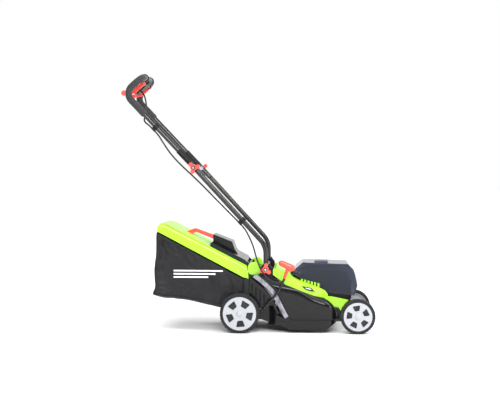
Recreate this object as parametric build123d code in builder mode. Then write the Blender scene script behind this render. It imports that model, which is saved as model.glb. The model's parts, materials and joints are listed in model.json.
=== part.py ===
from build123d import *

import os
from math import cos, hypot, pi, radians, sin, tan

# Cordless push lawn mower, in millimetres.
# X points forward, Y to the mower's left, Z up. The ground is Z = 0.

# Wheels and height adjustment
REAR_AXLE = (-27, 80)
FRONT_AXLE = (448, 70)
REAR_RADIUS = 80
FRONT_RADIUS = 70
WHEEL_OUTER_Y = 195
WHEEL_WIDTH = 38
TREAD_GROOVES = 36
WINDOW_CORNER = 3
CRANK_REACH = (57, 14)
AXLE_RADIUS = 5
FIT = 0.06
CRANK_PLATE_Y = 146
CRANK_PLATE = 5
LINK_HORN = 16
LEVER_Y = -190

# Deck, cowl and blade
BLADE_X = 205
DECK_HALF = 178
DECK_WALL = 5
TUNNEL_SIDE = 135
CHAMBER_RADIUS = 172
CHAMBER_TOP = 100
DECK_FLOOR = 106
WALL_FOOT = 30
WALL_REACH = (86, 172)
REAR_FACE_X = 8
RACK_TEETH = 12
CABLE_GLAND = (136, 206)
COWL_HALF = 175
HOUSING_HALF = 112
LID_HALF = 120
LID_WALL = 3
LID_HINGE = (173, 234)
BLADE_LENGTH = 330
BLADE_Z = 36
MOTOR_RADIUS = 44

# Bag and rear flap
BAG_HALF = 150
TOP_SLOPE = 0.5155
TOP_FRONT = (-1.5, 270)
FLAP_HALF = 130
HUMP_HALF = 65
FLAP_HINGE = (8, 270)

# Handle
TUBE_RADIUS = 10
TUBE_WALL = 1.5
LOWER_TUBE_Y = 165
UPPER_TUBE_Y = 142
LOWER_PIVOT = (78, 259)
MID_PIVOT = (-212, 667)
LOOP_VERTEX = (-499, 971)
CROSSBAR = (-427, 1037)
FOAM_RADIUS = 14
BOLT_RADIUS = 4
KNOB_REACH = 25
BAIL_PIVOT = (-429, 1014)
BAIL_BAR = (-507, 974)
CABLE_RADIUS = 3.25

os.makedirs("parts", exist_ok=True)


def save(part, label):
    """Names a finished piece and writes it."""
    part.label = label
    export_step(part, f"parts/{label}.step")


def side_plane(y):
    """The upright plane at one Y, with X to the right and Z up."""
    return Plane(origin=(0, y, 0), x_dir=(1, 0, 0), z_dir=(0, -1, 0))


def slab(outline, y_from, y_to, mode=Mode.ADD):
    """A closed X, Z outline carried from one Y to another."""
    with BuildSketch(side_plane(y_to)) as profile:
        with BuildLine():
            Polyline(*outline, close=True)
        make_face()
    extrude(profile.sketch, amount=y_to - y_from, mode=mode)


def disc(centre, radius, y_from, y_to, mode=Mode.ADD):
    """A round bar along Y."""
    with BuildSketch(side_plane(y_to)) as profile:
        with Locations(centre):
            Circle(radius)
    extrude(profile.sketch, amount=y_to - y_from, mode=mode)


def ring(centre, outer, inner, y_from, y_to, mode=Mode.ADD):
    """A round ring or tube along Y."""
    with BuildSketch(side_plane(y_to)) as profile:
        with Locations(centre):
            Circle(outer)
            Circle(inner, mode=Mode.SUBTRACT)
    extrude(profile.sketch, amount=y_to - y_from, mode=mode)


def upright(x, y, radius, bottom, top, mode=Mode.ADD):
    """A round bar along Z."""
    with BuildSketch(Plane.XY.offset(bottom)) as profile:
        with Locations((x, y)):
            Circle(radius)
    extrude(profile.sketch, amount=top - bottom, mode=mode)


def block(x, y, z, mode=Mode.ADD):
    """A box between the low and high values given on each axis."""
    with BuildSketch(Plane.XY.offset(z[0])) as profile:
        with Locations(((x[0] + x[1]) / 2, (y[0] + y[1]) / 2)):
            Rectangle(x[1] - x[0], y[1] - y[0])
    extrude(profile.sketch, amount=z[1] - z[0], mode=mode)


def crosswise(outline, x_from, x_to, mode=Mode.ADD):
    """A closed Y, Z outline carried from one X to another."""
    plane = Plane(origin=(x_from, 0, 0), x_dir=(0, 1, 0), z_dir=(1, 0, 0))
    with BuildSketch(plane) as profile:
        with BuildLine():
            Polyline(*outline, close=True)
        make_face()
    extrude(profile.sketch, amount=x_to - x_from, mode=mode)


def flat(outline, bottom, top, mode=Mode.ADD):
    """A closed X, Y outline carried from one height to another."""
    with BuildSketch(Plane.XY.offset(bottom)) as profile:
        with BuildLine():
            Polyline(*outline, close=True)
        make_face()
    extrude(profile.sketch, amount=top - bottom, mode=mode)


def both_sides(side, inner, outer):
    """The two Y values of a span that lies on the given side, lowest first."""
    return sorted((side * inner, side * outer))


def top_line(x, gap=0.0):
    """Height of the bag's sloping top at X, plus a gap."""
    return TOP_FRONT[1] - (x - TOP_FRONT[0]) * TOP_SLOPE + gap


def along(start, end, distance):
    """The point at a distance from start towards end, in X, Z."""
    length = hypot(end[0] - start[0], end[1] - start[1])
    return (
        start[0] + (end[0] - start[0]) * distance / length,
        start[1] + (end[1] - start[1]) * distance / length,
    )


def bent_rod(points, bend, radius, bore=0.0):
    """A round rod or tube along a path of straight runs and arcs."""
    with BuildLine() as path:
        FilletPolyline(*points, radius=bend)
    with BuildSketch(Plane(origin=path.line @ 0, z_dir=path.line % 0)) as profile:
        Circle(radius)
        if bore:
            Circle(bore, mode=Mode.SUBTRACT)
    sweep(profile.sketch, path=path.line)


# ---------------------------------------------------------------- deck
# The quadrant is the curve along which the height lever moves, above and in front of the rear wheel.
QUADRANT = [(31, 234), (63, 210), (96, 179), (117, 153), (131, 125), (147, 93), (163, 65)]
COWL_LOWER = [(134, 216), (157, 197), (185, 186), (228, 168), (270, 152), (310, 142), (339, 136), (360, 121)]
REAR_PIVOT = (REAR_AXLE[0] - CRANK_REACH[0], REAR_AXLE[1] - CRANK_REACH[1])
FRONT_PIVOT = (FRONT_AXLE[0] - CRANK_REACH[0], FRONT_AXLE[1] - CRANK_REACH[1])


def deck_plan(half, bottom, top, mode=Mode.ADD):
    """The deck's plan, straight at the sides and round in front, from one height to another."""
    with BuildSketch(Plane.XY.offset(bottom)) as profile:
        with Locations((BLADE_X, 0)):
            Circle(half)
        with Locations((BLADE_X / 2, 0)):
            Rectangle(BLADE_X, 2 * half)
    extrude(profile.sketch, amount=top - bottom, mode=mode)


def quadrant_rear():
    """The deck's rear edge behind the quadrant."""
    return [(x - 7, z - 7) for x, z in QUADRANT]


side_wall = (
    [(24, 236), (60, 236)]
    + COWL_LOWER
    + [(373, 102), (383, 80), (383, 40), (362, 37), (349, 27), (316, 12), (175, 12), (150, 30), (120, 33), (120, 75)]
    + quadrant_rear()[::-1]
)
tunnel_wall = [
    (REAR_FACE_X, 88), (REAR_FACE_X, 262), (60, 250), (107, 236), (134, 200), (134, 60), (150, 30), (100, 36), (60, 50)
]
tub_hollow = [(112, DECK_FLOOR), (46, 222), (60, 300), (420, 300), (420, DECK_FLOOR)]
tunnel_hollow = [(0, 108), (60, 40), (BLADE_X, 40), (BLADE_X, CHAMBER_TOP), (110, CHAMBER_TOP), (40, 220), (0, 246)]

with BuildPart() as tub:
    deck_plan(DECK_HALF - DECK_WALL, DECK_FLOOR, 300)
    slab(tub_hollow, -DECK_HALF, DECK_HALF, mode=Mode.INTERSECT)

# the blade chamber's round wall, where it stands clear of the deck's sides behind the quadrant
with BuildPart() as chamber_wall:
    upright(BLADE_X, 0, CHAMBER_RADIUS + DECK_WALL, WALL_FOOT, DECK_FLOOR)
    block(WALL_REACH, (-DECK_HALF, DECK_HALF), (WALL_FOOT, DECK_FLOOR), mode=Mode.INTERSECT)

with BuildPart() as deck_housing:
    deck_plan(DECK_HALF, 53, 240)
    deck_plan(DECK_HALF - 4, 12, 53)
    slab(side_wall, -DECK_HALF, DECK_HALF, mode=Mode.INTERSECT)
    slab(tunnel_wall, -TUNNEL_SIDE, TUNNEL_SIDE)
    add(chamber_wall.part)
    add(tub.part, mode=Mode.SUBTRACT)
    slab(tunnel_hollow, -TUNNEL_SIDE + DECK_WALL, TUNNEL_SIDE - DECK_WALL, mode=Mode.SUBTRACT)
    # arms that carry the rear and front cranked axles
    for side in (-1, 1):
        slab([(10, 92), (-96, 84), (-96, 54), (60, 50), (60, 92)], *both_sides(side, 122, TUNNEL_SIDE))
        slab([(290, 96), (290, 44), (403, 44), (403, 68), (380, 96)], *both_sides(side, 118, 132))
        slab([(-2, 276), (-2, 266), (20, 250), (20, 276)], *both_sides(side, 84, 96))
    upright(BLADE_X, 0, CHAMBER_RADIUS, 0, CHAMBER_TOP, mode=Mode.SUBTRACT)
    # bores for the crank rods, the flap rod and the motor shaft
    for pivot in (REAR_PIVOT, FRONT_PIVOT):
        disc(pivot, AXLE_RADIUS + FIT, -TUNNEL_SIDE - 5, TUNNEL_SIDE + 5, mode=Mode.SUBTRACT)
    disc(FLAP_HINGE, 3, -100, 100, mode=Mode.SUBTRACT)
    upright(BLADE_X, 0, 12, CHAMBER_TOP - 5, DECK_FLOOR + 5, mode=Mode.SUBTRACT)
    # a toothed rack on the right holds the lever at each cutting height
    with BuildSketch(side_plane(-TUNNEL_SIDE)):
        with BuildLine() as rack_line:
            Spline(*[(x - 18, z - 16) for x, z in QUADRANT[:-1]])
        trace(line_width=9)
        for step in range(RACK_TEETH):
            with Locations(rack_line.line @ (0.04 + 0.92 * step / (RACK_TEETH - 1))):
                Rectangle(8, 8, rotation=45)
    extrude(amount=30)
    # the gland where the cable enters
    disc(CABLE_GLAND, 7, -184, 10 - DECK_HALF)
    disc(CABLE_GLAND, CABLE_RADIUS, -190, 4 - DECK_HALF, mode=Mode.SUBTRACT)
save(deck_housing.part, "deck_housing")


# The trims are curved silver strips that lie on the deck's sides along the quadrant.
for side, name in ((-1, "quadrant_trim_right"), (1, "quadrant_trim_left")):
    with BuildPart() as quadrant_trim:
        low, high = both_sides(side, DECK_HALF, DECK_HALF + 4)
        with BuildSketch(side_plane(high)):
            with BuildLine() as curve:
                Spline(*QUADRANT)
            trace(line_width=17)
        extrude(amount=high - low)
    save(quadrant_trim.part, name)


# ---------------------------------------------------------------- cowl
cowl_side = (
    [(107, 236), (107, 255), (120, 263), (151, 250), (173, 241), (188, 224), (213, 211), (291, 183), (317, 169)]
    + [(331, 150), (345, 145)]
    + COWL_LOWER[::-1]
)
cowl_front = [(287, 148), (345, 145), (412, 131), (397, 117), (386, 102), (380, 88), (372, 104), (300, 110)]

with BuildPart() as cowl_hollow:
    deck_plan(COWL_HALF - 4, 90, 300)
    slab([(x, z - 4) for x, z in cowl_side], -COWL_HALF, COWL_HALF, mode=Mode.INTERSECT)

with BuildPart() as top_cowl:
    deck_plan(COWL_HALF, 100, 300)
    slab(cowl_side, -COWL_HALF, COWL_HALF, mode=Mode.INTERSECT)
    add(cowl_hollow.part, mode=Mode.SUBTRACT)
    slab(cowl_front, -140, 140)
    add(deck_housing.part, mode=Mode.SUBTRACT)
    slab([(160, 100), (160, 300), (500, 300), (500, 60), (300, 60)], -124, 124, mode=Mode.SUBTRACT)
    # vent fingers along the battery bay
    for side in (-1, 1):
        for finger in range(6):
            x = 220 + finger * 13.4
            z = 192 - finger * 3.4
            slab([(x, z - 6), (x, z + 24), (x + 7, z + 22), (x + 7, z - 6)], *both_sides(side, 124, 128))
    # posts for the lid's hinge pin
    for side in (-1, 1):
        low, high = both_sides(side, 84, 96)
        disc(LID_HINGE, 5.5, low, high)
        slab([(159, 236), (159, 246), (173, 239.5), (173, 228.5)], low, high)
    disc(LID_HINGE, 2.5, -100, 100, mode=Mode.SUBTRACT)
save(top_cowl.part, "top_cowl")


# ---------------------------------------------------------------- battery bay and its lid
# The bay is an open tray that stands on the deck's floor and holds the packs.
BAY_REAR, BAY_FRONT = 190, 424
BAY_FLOOR, BAY_TOP = 152, 200
bay_side = [(BAY_REAR, BAY_FLOOR), (BAY_REAR, BAY_TOP), (BAY_FRONT, BAY_TOP), (BAY_FRONT, 137), (412, 110)]
bay_side += [(396, DECK_FLOOR), (300, DECK_FLOOR), (300, BAY_FLOOR)]

with BuildPart() as battery_housing:
    slab(bay_side, -HOUSING_HALF, HOUSING_HALF)
    block((BAY_REAR + 4, BAY_FRONT - 4), (4 - HOUSING_HALF, HOUSING_HALF - 4), (BAY_FLOOR + 4, 300), Mode.SUBTRACT)
    slab([(304, DECK_FLOOR - 1), (304, 148), (412, 148), (407, 114), (396, DECK_FLOOR - 1)],
         4 - HOUSING_HALF, HOUSING_HALF - 4, mode=Mode.SUBTRACT)
    for side in (-1, 1):
        block((200, 300), both_sides(side, HOUSING_HALF - 10, HOUSING_HALF - 4), (DECK_FLOOR, BAY_FLOOR))
    block((207, 211), (-HOUSING_HALF + 4, HOUSING_HALF - 4), (BAY_FLOOR + 4, BAY_TOP - 10))
    add(deck_housing.part, mode=Mode.SUBTRACT)
save(battery_housing.part, "battery_housing")

lid_side = [(174, 220), (196, 255), (227, 280), (412, 274), (435, 251), (451, 185), (440, 158), (437, 147)]
lid_side += [(331, 158), (308, 176), (282, 192), (210, 220), (188, 232)]
lid_inner = [(179, 221), (199, 253), (228, 276.8), (411, 270.8), (432, 249), (447.8, 185), (437, 158), (433, 140)]
lid_inner += [(300, 140), (190, 210)]


def lid_form(side, half, top, front):
    """The lid's faceted form: its side outline with the long top and front corners cut off."""
    slab(side, -half, half)
    crosswise(
        [(-half, 100), (-half, top - 26), (22 - half, top), (half - 22, top), (half, top - 26), (half, 100)],
        150, 480, mode=Mode.INTERSECT,
    )
    flat(
        [(150, -half), (front - 26, -half), (front, 30 - half), (front, half - 30), (front - 26, half), (150, half)],
        90, 300, mode=Mode.INTERSECT,
    )


with BuildPart() as lid_hollow:
    lid_form(lid_inner, LID_HALF - LID_WALL, 277, 448)

with BuildPart() as battery_lid:
    lid_form(lid_side, LID_HALF, 280, 451)
    add(lid_hollow.part, mode=Mode.SUBTRACT)
    # the raised grip on top, and the knuckles of the hinge
    slab([(275, 276), (275, 283), (331, 281), (331, 274)], -40, 40)
    for side in (-1, 1):
        low, high = both_sides(side, 62, 82)
        disc(LID_HINGE, 5.5, low, high)
        slab([(174, 229), (174, 239.5), (191, 244.5), (186, 234.5)], low, high)
        disc(LID_HINGE, 2.8, low, high, mode=Mode.SUBTRACT)
    add(top_cowl.part, mode=Mode.SUBTRACT)
save(battery_lid.part, "battery_lid")

with BuildPart() as lid_hinge_pin:
    disc(LID_HINGE, 2.5, -97, 97)
save(lid_hinge_pin.part, "lid_hinge_pin")

# Two battery packs stand side by side, each with a release latch on top.
for side, name in ((-1, "battery_pack_right"), (1, "battery_pack_left")):
    with BuildPart() as battery_pack:
        low, high = both_sides(side, 12, 92)
        slab([(216, 157), (216, 232), (232, 248), (398, 244), (412, 228), (412, 157)], low, high)
        block((250, 300), both_sides(side, 34, 70), (240, 253))
    save(battery_pack.part, name)

with BuildPart() as controller_board:
    block((312, 392), (-50, 50), (112, 114))
    with BuildSketch(Plane.XY.offset(114)):
        with Locations((352, 0)):
            with GridLocations(24, 30, 3, 3):
                Rectangle(12, 14)
    extrude(amount=10)
save(controller_board.part, "controller_board")

with BuildPart() as safety_key:
    block((196, 204), (-14, 14), (BAY_FLOOR + 4, 214))
    disc((200, 222), 12, -5, 5)
    disc((200, 224), 5, -5, 5, mode=Mode.SUBTRACT)
save(safety_key.part, "safety_key")


# ---------------------------------------------------------------- motor and blade
with BuildPart() as motor_body:
    upright(BLADE_X, 0, MOTOR_RADIUS, DECK_FLOOR, 148)
    upright(BLADE_X, 0, MOTOR_RADIUS - 4, DECK_FLOOR + 3, 145, mode=Mode.SUBTRACT)
    upright(BLADE_X, 0, 12, DECK_FLOOR, 112)
    upright(BLADE_X, 0, 12, 139, 148)
    upright(BLADE_X, 0, 5 + FIT, 100, 160, mode=Mode.SUBTRACT)
save(motor_body.part, "motor_body")

with BuildPart() as motor_screws:
    with BuildSketch(Plane.XY.offset(CHAMBER_TOP - 4)):
        with Locations((BLADE_X, 0)):
            with PolarLocations(30, 4, start_angle=45):
                RegularPolygon(6, 6)
    extrude(amount=4)
save(motor_screws.part, "motor_screws")

with BuildPart() as motor_shaft:
    upright(BLADE_X, 0, 5, BLADE_Z - 4, 147)
save(motor_shaft.part, "motor_shaft")

with BuildPart() as cooling_fan:
    upright(BLADE_X, 0, 12, 66, 74)
    upright(BLADE_X, 0, 34, 64, 66)
    with BuildSketch(Plane.XY.offset(66)):
        with Locations((BLADE_X, 0)):
            with PolarLocations(23, 9):
                Rectangle(22, 1.6)
    extrude(amount=10)
    upright(BLADE_X, 0, 5, 60, 80, mode=Mode.SUBTRACT)
save(cooling_fan.part, "cooling_fan")

with BuildPart() as blade_adapter:
    upright(BLADE_X, 0, 16, 41, 64)
    upright(BLADE_X, 0, 26, BLADE_Z + 1.5, 44)
    upright(BLADE_X, 0, 5, 30, 80, mode=Mode.SUBTRACT)
save(blade_adapter.part, "blade_adapter")

with BuildPart() as blade:
    with BuildSketch(Plane.XY.offset(BLADE_Z - 1.5)):
        with Locations((BLADE_X, 0)):
            SlotOverall(BLADE_LENGTH, 46)
    extrude(amount=3)
    # the trailing edges turn up to throw the clippings
    for turn in (0, 180):
        with BuildSketch(Plane.XY.offset(BLADE_Z + 1.5)):
            with Locations((BLADE_X, 0)):
                with PolarLocations(125, 1, start_angle=turn):
                    with Locations((0, 20)):
                        Rectangle(56, 3)
        extrude(amount=12)
    upright(BLADE_X, 0, 5, 0, 60, mode=Mode.SUBTRACT)
save(blade.part, "blade")

with BuildPart() as blade_bolt:
    upright(BLADE_X, 0, 14, BLADE_Z - 4, BLADE_Z - 1.5)
    upright(BLADE_X, 0, 5, BLADE_Z - 4, BLADE_Z, mode=Mode.SUBTRACT)
    with BuildSketch(Plane.XY.offset(BLADE_Z - 12)):
        with Locations((BLADE_X, 0)):
            RegularPolygon(9, 6)
    extrude(amount=8)
save(blade_bolt.part, "blade_bolt")


# ---------------------------------------------------------------- rear flap
flap_low = [(-150, top_line(-150, 0.8)), (-4, top_line(-4, 0.8))]
flap_side = flap_low + [(-1, top_line(-4, 12)), (-8, top_line(-8, 19)), (-144, top_line(-144, 19))]
flap_side += [(-150, top_line(-150, 13))]
flap_inner = [(-147, 300), (-147, top_line(-147, 15)), (-8, top_line(-8, 15)), (-8, 200)]
hump_side = [(-144, top_line(-144, 17)), (-143, 393), (-65, 362), (-54, 331), (-38, top_line(-38, 17))]
hump_inner = [(-160, 300), (-160, 397), (-143, 390), (-66, 359), (-56, 330), (-44, top_line(-44, 12)), (-44, 250)]

with BuildPart() as rear_flap:
    slab(flap_side, -FLAP_HALF, FLAP_HALF)
    slab(hump_side, -HUMP_HALF, HUMP_HALF)
    slab(flap_inner, 3 - FLAP_HALF, FLAP_HALF - 3, mode=Mode.SUBTRACT)
    slab(hump_inner, 3 - HUMP_HALF, HUMP_HALF - 3, mode=Mode.SUBTRACT)
    for side in (-1, 1):
        low, high = both_sides(side, 98, 112)
        disc(FLAP_HINGE, 6, low, high)
        slab([(-7, 274), (-4, 287), (8, 276), (8, 265)], low, high)
        disc(FLAP_HINGE, 3.2, low, high, mode=Mode.SUBTRACT)
save(rear_flap.part, "rear_flap")

with BuildPart() as flap_hinge_rod:
    disc(FLAP_HINGE, 3, -118, 118)
save(flap_hinge_rod.part, "flap_hinge_rod")

with BuildPart() as flap_spring:
    ring(FLAP_HINGE, 5.2, 3.6, 50, 78)
    slab([(3, 266), (3, 264), (30, 258), (30, 262)], 76, 78)
save(flap_spring.part, "flap_spring")


# ---------------------------------------------------------------- grass bag
frame_side = [(9, 211), (-1.5, 270), (-330, top_line(-330)), (-353, 441), (-364, 430), (-366, 409)]
frame_inner = [(20, 180), (3, 262), (-328, top_line(-328, -4)), (-351, 436), (-360, 428), (-362, 400), (-362, 300)]
bag_side = [(6, 92), (6, 205), (-360, 405), (-377, 263), (-384, 163), (-251, 137), (-108, 107)]
bag_inner = [(20, 95), (20, 240), (-357, 440), (-374, 263), (-380.5, 166.5), (-251, 140), (-108, 110)]

with BuildPart() as bag_frame:
    slab(frame_side, -BAG_HALF, BAG_HALF)
    ridge = [e for e in bag_frame.edges().filter_by(Axis.Y, reverse=True) if e.center().Z > top_line(e.center().X, -6)]
    fillet(ridge, radius=16)
    slab(frame_inner, 4 - BAG_HALF, BAG_HALF - 4, mode=Mode.SUBTRACT)
    # the mouth's lower hoop, which stiffens the fabric
    slab([(-3, 93), (-3, 215), (6, 215), (6, 93)], -BAG_HALF + 7, BAG_HALF - 7)
    slab([(-5, 103), (-5, 280), (12, 280), (12, 103)], -BAG_HALF + 17, BAG_HALF - 17, mode=Mode.SUBTRACT)
    for side in (-1, 1):
        slab([(-3, 205), (-3, 240), (6, 240), (6, 205)], *both_sides(side, BAG_HALF - 17, BAG_HALF - 2))
save(bag_frame.part, "bag_frame")

with BuildPart() as bag_fabric:
    slab(bag_side, 4.5 - BAG_HALF, BAG_HALF - 4.5)
    slab(bag_inner, 7 - BAG_HALF, BAG_HALF - 7, mode=Mode.SUBTRACT)
    add(bag_frame.part, mode=Mode.SUBTRACT)
save(bag_fabric.part, "bag_fabric")

with BuildPart() as bag_handle:
    arch = [(-262, top_line(-262)), (-254, 404), (-224, 415), (-152, 389), (-114, 366), (-103, top_line(-103))]
    arch += [(-117, top_line(-117)), (-126, 357), (-158, 375), (-220, 399), (-236, top_line(-236))]
    slab(arch, -13, 13)
save(bag_handle.part, "bag_handle")


# ---------------------------------------------------------------- handle
for side, name in ((-1, "handle_bracket_right"), (1, "handle_bracket_left")):
    with BuildPart() as handle_bracket:
        cheek = [(58, 226), (58, 262), (66, 278), (92, 278), (105, 262), (105, 226)]
        for inner, outer in ((144, 154.4), (175.6, 184)):
            slab(cheek, *both_sides(side, inner, outer))
        slab([(58, 226), (58, 238), (105, 238), (105, 226)], *both_sides(side, 144, 184))
        disc(LOWER_PIVOT, BOLT_RADIUS, *both_sides(side, 140, 190), mode=Mode.SUBTRACT)
        add(deck_housing.part, mode=Mode.SUBTRACT)
    save(handle_bracket.part, name)

TUBE_SLOPE_POINT = (-20, 455)
lower_end = along(MID_PIVOT, TUBE_SLOPE_POINT, -26)
lower_points = [(LOWER_PIVOT[0], LOWER_PIVOT[1] - 16), (LOWER_PIVOT[0], 352), lower_end]
for side, name in ((-1, "lower_tube_right"), (1, "lower_tube_left")):
    with BuildPart() as lower_tube:
        y = side * LOWER_TUBE_Y
        bent_rod([(x, y, z) for x, z in lower_points], 85, TUBE_RADIUS, TUBE_RADIUS - TUBE_WALL)
        disc(LOWER_PIVOT, BOLT_RADIUS + 0.2, *both_sides(side, 150, 180), mode=Mode.SUBTRACT)
        disc(MID_PIVOT, BOLT_RADIUS, *both_sides(side, 150, 180), mode=Mode.SUBTRACT)
    save(lower_tube.part, name)

upper_foot = along(MID_PIVOT, LOOP_VERTEX, -52)
with BuildPart() as upper_handle_tube:
    loop = [(x, -UPPER_TUBE_Y, z) for x, z in (upper_foot, LOOP_VERTEX, CROSSBAR)]
    loop += [(x, -y, z) for x, y, z in reversed(loop)]
    bent_rod(loop, 40, TUBE_RADIUS, TUBE_RADIUS - TUBE_WALL)
    for side in (-1, 1):
        disc(MID_PIVOT, BOLT_RADIUS + 0.2, *both_sides(side, 125, 155), mode=Mode.SUBTRACT)
save(upper_handle_tube.part, "upper_handle_tube")

FOAM_START = along(LOOP_VERTEX, MID_PIVOT, 121)
with BuildPart() as foam_grip:
    grip_loop = [(x, -UPPER_TUBE_Y, z) for x, z in (FOAM_START, LOOP_VERTEX, CROSSBAR)]
    grip_loop += [(x, -y, z) for x, y, z in reversed(grip_loop)]
    bent_rod(grip_loop, 40, FOAM_RADIUS, TUBE_RADIUS)
save(foam_grip.part, "foam_grip")

# Plastic sleeves on the loop's lower ends keep it clear of the lower tubes.
with BuildPart() as joint_sleeves:
    for side in (-1, 1):
        low, high = (along(MID_PIVOT, LOOP_VERTEX, distance) for distance in (16, 96))
        start = Vector(low[0], side * UPPER_TUBE_Y, low[1])
        axis = Vector(high[0] - low[0], 0, high[1] - low[1])
        with BuildSketch(Plane(origin=start, z_dir=axis)):
            Circle(TUBE_RADIUS + 2)
            Circle(TUBE_RADIUS, mode=Mode.SUBTRACT)
        extrude(amount=80)
save(joint_sleeves.part, "joint_sleeves")


def bolt(centre, side, inner, outer):
    """A round-headed bolt along Y: its head at the inner end, its thread running out."""
    disc(centre, BOLT_RADIUS, *both_sides(side, inner, outer))
    disc(centre, 8, *both_sides(side, inner - 5, inner))


with BuildPart() as lower_bolts:
    for side in (-1, 1):
        bolt(LOWER_PIVOT, side, 144, 211)
save(lower_bolts.part, "lower_bolts")

with BuildPart() as mid_bolts:
    for side in (-1, 1):
        bolt(MID_PIVOT, side, 131.5, 205)
save(mid_bolts.part, "mid_bolts")


def knob(centre, side, base, turn):
    """A knob with three lobes on a round hub; the bolt's end shows in its middle."""
    disc(centre, 10, *both_sides(side, base, base + 6))
    low, high = both_sides(side, base + 6, base + 19)
    disc(centre, 13, low, high)
    for lobe in range(3):
        angle = radians(turn + lobe * 120)
        tip = (centre[0] + 17 * cos(angle), centre[1] + 17 * sin(angle))
        disc(tip, KNOB_REACH - 17, low, high)
        across = (6.5 * sin(angle), -6.5 * cos(angle))
        slab(
            [
                (centre[0] + across[0], centre[1] + across[1]),
                (tip[0] + across[0], tip[1] + across[1]),
                (tip[0] - across[0], tip[1] - across[1]),
                (centre[0] - across[0], centre[1] - across[1]),
            ],
            low, high,
        )
    disc(centre, BOLT_RADIUS + 0.1, *both_sides(side, base - 5, base + 30), mode=Mode.SUBTRACT)


KNOBS = (
    ("lower_knob_right", LOWER_PIVOT, -1, 184.4, 82),
    ("lower_knob_left", LOWER_PIVOT, 1, 184.4, 60),
    ("mid_knob_right", MID_PIVOT, -1, 175.6, 15),
    ("mid_knob_left", MID_PIVOT, 1, 175.6, 40),
)
for name, centre, side, base, turn in KNOBS:
    with BuildPart() as knob_part:
        knob(centre, side, base, turn)
    save(knob_part.part, name)


# ---------------------------------------------------------------- switch box and bail
BOX_UP = along(CROSSBAR, LOOP_VERTEX, 1)
BOX_DIRECTION = (BOX_UP[0] - CROSSBAR[0], BOX_UP[1] - CROSSBAR[1])
BOX_NORMAL = (-BOX_DIRECTION[1], BOX_DIRECTION[0])


def box_point(run, lift):
    """A point of the switch box: run along it from the crossbar, lift towards the user's side."""
    return (
        CROSSBAR[0] + BOX_DIRECTION[0] * run + BOX_NORMAL[0] * lift,
        CROSSBAR[1] + BOX_DIRECTION[1] * run + BOX_NORMAL[1] * lift,
    )


BOX_OUTLINE = [box_point(-2, 20), box_point(64, 20), box_point(80, 8), box_point(80, -8), box_point(64, -14)]
BOX_OUTLINE += [box_point(14, -20), box_point(-2, -20)]
LOCK_CENTRE = box_point(34, 0)

with BuildPart() as switch_box:
    slab(BOX_OUTLINE, -34, 34)
    disc(CROSSBAR, FOAM_RADIUS, -60, 60, mode=Mode.SUBTRACT)
    disc(BAIL_PIVOT, BOLT_RADIUS, -60, 60, mode=Mode.SUBTRACT)
    disc(LOCK_CENTRE, 8.4, -60, -22, mode=Mode.SUBTRACT)
save(switch_box.part, "switch_box")

with BuildPart() as lock_button:
    disc(LOCK_CENTRE, 8, -41, -30)
save(lock_button.part, "lock_button")

# The bail turns on a steel shaft that hangs from the crossbar on two clamps and passes through the switch box.
with BuildPart() as bail_shaft:
    disc(BAIL_PIVOT, BOLT_RADIUS, -100, 100)
save(bail_shaft.part, "bail_shaft")

with BuildPart() as shaft_clamps:
    for side in (-1, 1):
        low, high = both_sides(side, 62, 76)
        disc(CROSSBAR, FOAM_RADIUS + 4, low, high)
        disc(BAIL_PIVOT, BOLT_RADIUS + 4, low, high)
        disc(CROSSBAR, FOAM_RADIUS, low, high, mode=Mode.SUBTRACT)
        disc(BAIL_PIVOT, BOLT_RADIUS, low, high, mode=Mode.SUBTRACT)
save(shaft_clamps.part, "shaft_clamps")

with BuildPart() as bail_lever:
    for side in (-1, 1):
        low, high = both_sides(side, 82, 91)
        elbow = (BAIL_PIVOT[0] - 42, BAIL_PIVOT[1] - 32)
        slab([(BAIL_PIVOT[0] - 3, BAIL_PIVOT[1] + 6), (BAIL_PIVOT[0] + 4, BAIL_PIVOT[1] - 5),
              (elbow[0] + 6, elbow[1] - 8), (BAIL_BAR[0], BAIL_BAR[1] - 7), (BAIL_BAR[0], BAIL_BAR[1] + 7),
              (elbow[0] - 2, elbow[1] + 5)], low, high)
        disc(BAIL_PIVOT, 8, low, high)
        disc(BAIL_PIVOT, BOLT_RADIUS + 0.15, low, high, mode=Mode.SUBTRACT)
    disc(BAIL_BAR, 11, -112, 112)
save(bail_lever.part, "bail_lever")


# ---------------------------------------------------------------- cable and its clips
# The cable runs from the switch box down the right side and is clipped to the upper and lower tubes.
UPPER_CLIP = along(LOOP_VERTEX, MID_PIVOT, 189)
LOWER_CLIP = along(lower_points[1], lower_points[-1], 139)
CABLE_UPPER = [
    (-450.4, -16, 988.5), (-440.3, -16, 977.4), (-429, -42, 957), (-418, -82, 925), (-414, -112, 893),
    (-421, -128, 868), (-417, -138, 853), (-398.2, -142, 840), (-380.8, -142, 822.6),
]
CABLE_MID = [
    (-380.8, -142, 822.6), (-363.4, -142, 805.2), (-336, -148, 762), (-306, -153, 719), (-262, -159, 674),
    (-218, -163, 634), (-172, -165, 590), (-121, -165, 537), (-74.4, -165, 490), (-27.9, -165, 443.5),
]
CABLE_LOWER = [
    (-27.9, -165, 443.5), (-10.4, -165, 426), (9, -171, 394), (28, -181, 352), (41, -194, 306), (57, -207.5, 264),
    (80, -207.5, 230), (106, -204, 212), (128, -200, 206), (CABLE_GLAND[0], -196, 206), (CABLE_GLAND[0], -178, 206),
]


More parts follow.
